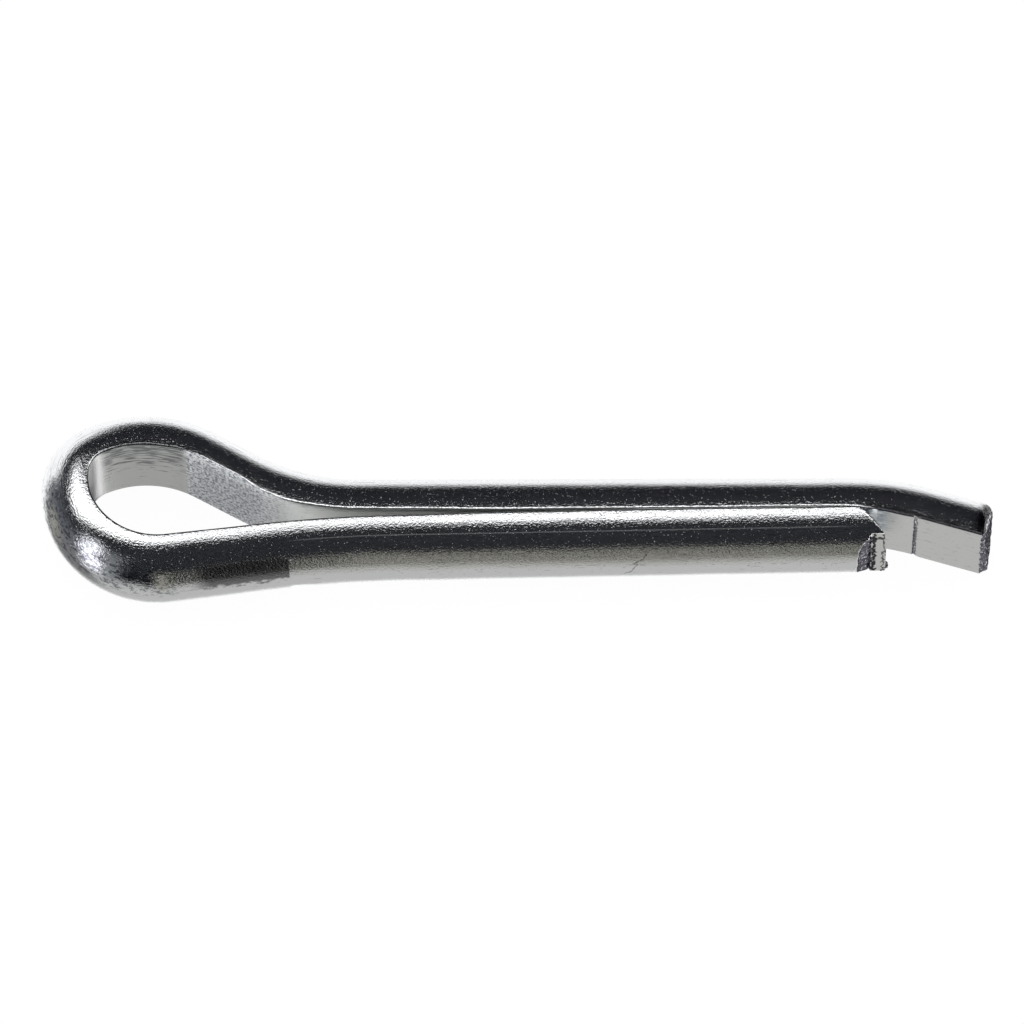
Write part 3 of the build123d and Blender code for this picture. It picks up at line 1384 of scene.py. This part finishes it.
    def bevel_short_tip(self, bm: bmesh.types.BMesh) -> None:
        """Bevels the flat side of the short leg's tip, and rolls the round side over at the bevel's rim.

        Args:
            bm: the wire with its true section.
        """
        last = self.stretches()[Run.SHORT_LEG]
        _, heading = last.place(last.length)
        low = last.begins + last.length - self.end_reach
        planes = self.wedge_planes()
        for point, outer in planes:
            self.slice(bm, self.near(bm, low, low + self.end_reach + self.overrun), point, outer)
        layer = bm.verts.layers.float_vector[PLACE]
        depth = direction(heading - 90.0)
        for vert in bm.verts:
            along, outward, height = vert[layer]
            if along < low or math.hypot(outward, height) < self.rim_share * self.wire_width / 2:
                continue
            angle = math.atan2(abs(height), outward)
            near_top = blend_share(math.degrees(angle), *self.rim_top_angles)
            reach = self.rim_round + self.rim_round_top * near_top
            away = max(min(-(vert.co - point).dot(outer) for point, outer in planes), 0.0)
            if away < reach:
                drop = reach * (1.0 - math.sqrt(1.0 - (1.0 - away / reach) ** 2))
                vert.co -= depth * math.cos(angle) * drop
                vert.co.z -= math.copysign(math.sin(angle) * drop, height)

    def cutters(self) -> list[Cutter]:
        """The waste that is torn or sheared off both ends, and the score.

        Returns:
            The cutters in the order of the cuts.
        """
        last = self.stretches()[Run.SHORT_LEG]
        end, heading = last.place(last.length)
        tear = Cutter(
            name="tear", frame=frame_at(end, heading), surface=Surface.SHEARED,
            corners=(
                (self.overrun, self.tear_centre[1]),
                (self.overrun, -self.land_depth),
                (-self.strip_run, -self.land_depth),
                (-self.strip_run - self.seam_run * self.seam_deepest, -self.land_depth + self.seam_depth),
                (-self.strip_run - self.seam_run, -self.land_depth - self.seam_lip),
            ),
            round_centre=self.tear_centre, round_turn=self.tear_turn, second=Surface.LAND,
            second_box=(-self.strip_run, self.end_reach, -self.end_reach, self.end_reach),
            land_tilt=self.land_tilt, rough=self.torn_rough,
        )
        first = self.stretches()[Run.LONG_TIP]
        tip, _ = first.place(self.stock_length)
        tip_frame = frame_at(tip, first.heading + 180.0)
        lean = math.tan(math.radians(self.break_back_angle))
        crown = self.wire_width / 2 + self.overrun
        snapped = Cutter(
            name="break", frame=tip_frame, surface=Surface.SHEARED,
            lean=self.break_side_angle, rough=self.torn_rough,
            corners=(
                (self.overrun * lean, -self.overrun),
                (-crown * lean, crown),
                (self.overrun * 2.0, crown),
                (self.overrun * 2.0, -self.overrun),
            ),
        )
        chip = Cutter(
            name="chip", frame=tip_frame, surface=Surface.SHEARED,
            lean=self.chip_lean, rough=self.torn_rough,
            corners=(
                (-self.chip_run, -self.overrun),
                (-self.chip_run, -self.chip_depth),
                (self.chip_run, self.chip_depth * 2.0),
                (self.overrun * 2.0, self.chip_depth * 2.0),
                (self.overrun * 2.0, -self.overrun),
            ),
        )
        left = -self.score_setback - self.score_width / 2
        right = left + self.score_width
        deepest = left + self.score_width * self.score_deepest
        top, foot = read_marks(self.flat_marks, self.stock_length + self.score_setback)
        flat_at = (top + foot) / 2
        score = Cutter(
            name="score", frame=tip_frame, surface=Surface.SHEARED,
            rough=self.score_rough, grid=self.score_grid,
            lean=-self.score_lean, roll=math.degrees(math.atan2(foot - top, self.wire_width)),
            second=Surface.SMEARED, second_box=(deepest, right, -self.end_reach, self.end_reach),
            corners=(
                (deepest, flat_at + self.score_depth),
                (left, flat_at),
                (left, -self.overrun),
                (right, -self.overrun),
                (right, flat_at),
            ),
        )
        return [tear, snapped, chip, score]

    def locate(self, point: Vector) -> Vector:
        """Place on the wire of a point that a cut made near one of the ends.

        Args:
            point: the point in plan and height.

        Returns:
            Distance along the wire, distance out from the flat, and height.
        """
        laid = self.stretches()
        found: list[Vector] = []
        for stretch in (*laid[:Run.FAR_NECK], laid[Run.SHORT_LEG]):
            along = min(max(stretch.along(point), 0.0), stretch.length)
            on_flat, heading = stretch.place(along)
            outward = (point - on_flat).dot(direction(heading - 90.0))
            beside = abs((point - on_flat).dot(direction(heading)))
            if beside < self.overrun * 1.5:
                found.append(Vector((stretch.begins + along, outward, point.z)))
        return max(found, key=lambda place: min(place.y, 0.0))

    def carve(self, pin: bpy.types.Object) -> bpy.types.Mesh:
        """Takes the cutters off the wire and joins the crumbs to it.

        Args:
            pin: the wire, in millimetres.

        Returns:
            The carved mesh.
        """
        last = self.stretches()[Run.SHORT_LEG]
        leg_frame = frame_at(*last.place(last.length))
        tools = [(cutter.build(pin.data.materials), "DIFFERENCE") for cutter in self.cutters()]
        for number, burr in enumerate(self.burrs):
            tools.append((burr.build(f"burr_{number}", leg_frame, pin.data.materials), "UNION"))
        for tool, operation in tools:
            modifier = pin.modifiers.new(tool.name, "BOOLEAN")
            modifier.operation = operation
            modifier.solver = "EXACT"
            modifier.object = tool
        depsgraph = bpy.context.evaluated_depsgraph_get()
        carved = bpy.data.meshes.new_from_object(
            pin.evaluated_get(depsgraph), preserve_all_data_layers=True, depsgraph=depsgraph
        )
        pin.modifiers.clear()
        for tool, _ in tools:
            bpy.data.meshes.remove(tool.data)
        return carved

    def finish_mesh(self, mesh: bpy.types.Mesh) -> None:
        """Notes the places of the cuts and marks their rims for a painted edge highlight, sets the sharp
        edges and brings the mesh to metres.

        Args:
            mesh: the carved wire, in millimetres.
        """
        bm = bmesh.new()
        bm.from_mesh(mesh)
        layer = bm.verts.layers.float_vector[PLACE]
        marked = bm.verts.layers.float.new(EDGE_HIGHLIGHT)
        bmesh.ops.remove_doubles(bm, verts=bm.verts, dist=MERGE)
        for vert in bm.verts:
            kinds = {f.material_index for f in vert.link_faces}
            if kinds != {Surface.PLATED.value}:
                vert[layer] = self.locate(vert.co)
                on_long_flat = vert[layer].x < self.end_reach * 2.0 and vert[layer].y < self.chip_depth
                # Rims of the cuts take a painted white highlight, but not on the long tip's flat
                vert[marked] = 1.0 if Surface.PLATED.value in kinds and not on_long_flat else 0.0
        bmesh.ops.recalc_face_normals(bm, faces=bm.faces)
        for face in bm.faces:
            face.smooth = True
        for edge in bm.edges:
            edge.smooth = edge.calc_face_angle(0.0) < math.radians(self.sharp_angle)
        bmesh.ops.scale(bm, vec=(MM, MM, MM), verts=bm.verts)
        pinched = sum(not e.is_manifold for e in bm.edges)
        log.info("wire: %d faces, %d edges without exactly two faces", len(bm.faces), pinched)
        bm.to_mesh(mesh)
        bm.free()

    def finishes(self) -> list[bpy.types.Material]:
        """The pin's materials.

        Returns:
            One material for each surface, in the order of their slots.
        """
        laid = self.stretches()
        end_along = laid[Run.SHORT_LEG].begins + laid[Run.SHORT_LEG].length
        zinc = ZincPlate(
            sparkle_from=laid[Run.FAR_NECK].begins + self.sparkle_lead,
            sparkle_to=laid[Run.EYE_FAR].begins + self.sparkle_past,
            streaks_to=laid[Run.EYE_END].begins,
            smear_at=self.smear_at,
            line_from=laid[Run.NEAR_NECK].begins + self.line_lead,
            line_to=end_along - self.line_setback,
            crack_at=end_along - self.crack_setback,
            shade_from=self.die_step_at - self.shade_run,
            shade_to=self.die_step_at,
            shade_blotch_from=self.shade_blotches[0],
            shade_blotch_to=self.shade_blotches[1],
        )
        smeared = ShearedSteel("smeared_steel", self.smeared_grey, self.smeared_glint)
        land = ShearedLand(end_along, self.strip_run)
        return [zinc.material(), ShearedSteel().material(), land.material(), smeared.material()]

    def build(self) -> bpy.types.Object:
        """Makes the pin's mesh, with its finishes, and puts it in the scene.

        Returns:
            The pin.
        """
        bm = bmesh.new()
        bm.verts.layers.float_vector.new(PLACE)
        start = self.section(bm)
        end = self.draw(bm, start)
        for ring in (start, end):
            bmesh.ops.contextual_create(bm, geom=ring)
        self.refine_ends(bm)
        self.settle(bm)
        self.bevel_short_tip(bm)
        self.roll_long_tip(bm)
        bmesh.ops.remove_doubles(bm, verts=bm.verts, dist=MERGE)
        bmesh.ops.recalc_face_normals(bm, faces=bm.faces)
        pin = new_piece(self.name, bm, self.finishes())
        uncut = pin.data
        pin.data = self.carve(pin)
        bpy.data.meshes.remove(uncut)
        pin.data.name = self.name
        self.finish_mesh(pin.data)
        return pin

    def dress(self, pin: bpy.types.Object) -> None:
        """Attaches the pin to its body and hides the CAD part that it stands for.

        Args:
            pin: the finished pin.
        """
        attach(pin, "root")
        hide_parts("split_pin")


@dataclass(frozen=True)
class Panel:
    """A lit or dark area that the metal mirrors, by its bearing and its height in degrees.

    A bearing is 0 towards the camera and positive to the right.
    """

    bearing: float
    height: float
    half_width: float
    half_height: float
    softness: float
    colour: Colour


class PanelMask:
    """Mask of one panel of the surroundings, as one node group."""

    NAME = "panel_mask"

    @classmethod
    def tree(cls) -> bpy.types.NodeTree:
        """The group, built on first use.

        Returns:
            A tree that takes a direction and a panel's place, and puts out its mask.
        """
        if cls.NAME in bpy.data.node_groups:
            return bpy.data.node_groups[cls.NAME]
        names = ("Bearing", "Height", "At Bearing", "At Height", "Half Width", "Half Height", "Softness")
        tree, bench = new_group(cls.NAME, {n: "NodeSocketFloat" for n in names}, {"Mask": "NodeSocketFloat"})
        given = bench.node("NodeGroupInput").outputs
        masks: list[bpy.types.NodeSocket] = []
        sides = (("Bearing", "At Bearing", "Half Width"), ("Height", "At Height", "Half Height"))
        for value, centre, half in sides:
            away = bench.apart(given[value], given[centre])
            inside = bench.math("SUBTRACT", given[half], given["Softness"])
            outside = bench.math("ADD", given[half], given["Softness"])
            masks.append(bench.ease(away, inside, outside, 1.0, 0.0))
        put = bench.node("NodeGroupOutput")
        bench.feed(put.inputs["Mask"], bench.product(*masks))
        return tree


@dataclass
class Studio:
    """Floor, light, surroundings and camera."""

    target: Triple = (11.785, 1.177, 0.0)
    bearing: float = 0.7074
    elevation: float = 62.863
    distance: float = 551.7
    lens_mm: float = 316.4
    near_clip: float = 10.0
    softbox_height: float = 600.0
    softbox_near: float = 21.0
    softbox_far: float = 254.0
    softbox_length: float = 1400.0
    softbox_radiance: float = 1.5
    floor_size: float = 3000.0
    floor_pale: Colour = (0.9, 0.9, 0.9, 1.0)
    floor_glow: float = 0.97
    white: Colour = (1.0, 1.0, 1.0, 1.0)
    room_strength: float = 1.3
    dark: Colour = (0.007, 0.008, 0.011, 1.0)
    panels: tuple[Panel, ...] = (
        Panel(-95, -22, 42, 40, 14, (0.11, 0.115, 0.13, 1.0)),
        Panel(-15, 48, 30, 32, 10, (0.011, 0.012, 0.015, 1.0)),
        Panel(0, -68, 190, 50, 4, (0.54, 0.54, 0.53, 1.0)),
        Panel(-84, -38, 28, 26, 8, (0.19, 0.19, 0.195, 1.0)),
        Panel(120, -56, 64, 51, 9, (1.1, 1.1, 1.1, 1.0)),
        Panel(-180, -54, 25, 50, 4, (1.1, 1.1, 1.1, 1.0)),
        Panel(-143, -40, 25, 52, 7, (1.1, 1.1, 1.1, 1.0)),
        Panel(88, 0, 48, 42, 6, (0.02, 0.02, 0.024, 1.0)),
        Panel(118, -64, 28, 22, 5, (0.24, 0.24, 0.24, 1.0)),
        Panel(139, -46, 13, 24, 3, (0.02, 0.02, 0.024, 1.0)),
        Panel(-128, 63, 19, 18, 6, (1.3, 1.3, 1.3, 1.0)),
        Panel(1.0, -8, 4.5, 25, 1.5, (0.33, 0.32, 0.28, 1.0)),
        Panel(-40, 4, 6, 36, 5, (0.24, 0.25, 0.26, 1.0)),
        Panel(-61, 20, 7.5, 19, 3, (1.6, 1.6, 1.7, 1.0)),
        Panel(-55, -7, 7.5, 16, 3, (1.6, 1.6, 1.7, 1.0)),
        Panel(-97, -27, 6, 17, 3, (0.34, 0.34, 0.30, 1.0)),
    )

    def aim(self) -> Vector:
        """Direction that the camera looks in.

        Returns:
            The unit vector from the camera to the pin.
        """
        flat = math.cos(math.radians(self.elevation))
        turn = math.radians(self.bearing)
        return Vector((flat * math.sin(turn), flat * math.cos(turn), -math.sin(math.radians(self.elevation))))

    def camera(self) -> None:
        """Sets the camera at the photograph's viewing angle."""
        data = bpy.data.cameras.new("camera")
        data.lens = self.lens_mm
        data.clip_start = self.near_clip * MM
        made = bpy.data.objects.new("camera", data)
        bpy.context.scene.collection.objects.link(made)
        made.location = (Vector(self.target) - self.aim() * self.distance) * MM
        made.rotation_euler = self.aim().to_track_quat("-Z", "Y").to_euler()
        bpy.context.scene.camera = made

    def floor(self) -> None:
        """Lays the floor under the pin, white to the camera but for the pin's soft shadow."""
        bm = bmesh.new()
        bmesh.ops.create_grid(bm, x_segments=1, y_segments=1, size=self.floor_size / 2 * MM)
        bmesh.ops.translate(bm, vec=(0, 0, CAD_BOX[0][2]), verts=bm.verts)
        material, bench, shader = new_material("floor_white")
        made = new_piece("floor", bm, [material])
        made.visible_glossy = False
        shader.inputs["Base Color"].default_value = self.floor_pale
        shader.inputs["Roughness"].default_value = 1.0
        shader.inputs["Specular IOR Level"].default_value = 0.0
        rays = bench.node("ShaderNodeLightPath")
        white = bench.node("ShaderNodeEmission", {"Color": self.white, "Strength": 1.0})
        share = bench.product(rays.outputs["Is Camera Ray"], self.floor_glow)
        mixed = bench.node("ShaderNodeMixShader", {0: share, 1: shader.outputs[0], 2: white.outputs[0]})
        bench.feed(material.node_tree.nodes["Material Output"].inputs["Surface"], mixed.outputs[0])

    def softbox(self) -> None:
        """Hangs the long softbox over the pin."""
        data = bpy.data.lights.new("softbox", "AREA")
        data.shape = "RECTANGLE"
        data.size = self.softbox_length * MM
        data.size_y = (self.softbox_far - self.softbox_near) * MM
        data.energy = self.softbox_radiance * math.pi * data.size * data.size_y
        made = bpy.data.objects.new("softbox", data)
        bpy.context.scene.collection.objects.link(made)
        made.location = Vector((0, (self.softbox_far + self.softbox_near) / 2, self.softbox_height)) * MM
        made.visible_camera = False

    def surroundings(self) -> None:
        """Paints what the metal mirrors: a dark room, a pale floor and a few cards."""
        world = bpy.data.worlds.new("studio")
        bpy.context.scene.world = world
        world.use_nodes = True
        world.node_tree.nodes.clear()
        bench = NodeBench(world.node_tree)
        aim = bench.node("ShaderNodeTexCoord").outputs["Generated"]
        apart = bench.node("ShaderNodeSeparateXYZ", {0: aim}).outputs
        backward = bench.math("MULTIPLY", apart["Y"], -1.0)
        bearing = bench.math("DEGREES", bench.math("ARCTAN2", apart["X"], backward))
        height = bench.math("DEGREES", bench.math("ARCSINE", apart["Z"]))
        colour: Any = self.dark
        for panel in self.panels:
            mask = bench.node("ShaderNodeGroup", node_tree=PanelMask.tree())
            inputs = {
                "Bearing": bearing, "At Bearing": panel.bearing, "Half Width": panel.half_width,
                "Height": height, "At Height": panel.height, "Half Height": panel.half_height,
                "Softness": panel.softness,
            }
            for label, source in inputs.items():
                bench.feed(mask.inputs[label], source)
            colour = bench.tint(mask.outputs["Mask"], colour, panel.colour)
        rays = bench.node("ShaderNodeLightPath").outputs
        mirrored = bench.highest(rays["Is Glossy Ray"], rays["Is Transmission Ray"])
        room = bench.node("ShaderNodeBackground", {"Color": self.white, "Strength": self.room_strength})
        seen = bench.node("ShaderNodeBackground", {"Color": colour, "Strength": 1.0})
        white = bench.node("ShaderNodeBackground", {"Color": self.white, "Strength": 1.0})
        lit = bench.node("ShaderNodeMixShader", {0: mirrored, 1: room.outputs[0], 2: seen.outputs[0]})
        shown = bench.node(
            "ShaderNodeMixShader", {0: rays["Is Camera Ray"], 1: lit.outputs[0], 2: white.outputs[0]}
        )
        bench.node("ShaderNodeOutputWorld", {"Surface": shown.outputs[0]})

    def build(self) -> None:
        """Sets up the whole studio."""
        self.camera()
        self.floor()
        self.softbox()
        self.surroundings()
        bpy.context.scene.view_settings.view_transform = "Standard"


def main() -> None:
    """Builds the pin and the studio in order."""
    logging.basicConfig(level=logging.INFO, format="%(name)s: %(message)s")
    pin_maker = SplitPin()
    pin = pin_maker.build()
    pin_maker.dress(pin)
    log.info("pin dressed: %s", pin.name)
    Studio().build()
    log.info("studio ready")


if __name__ == "__main__":
    main()
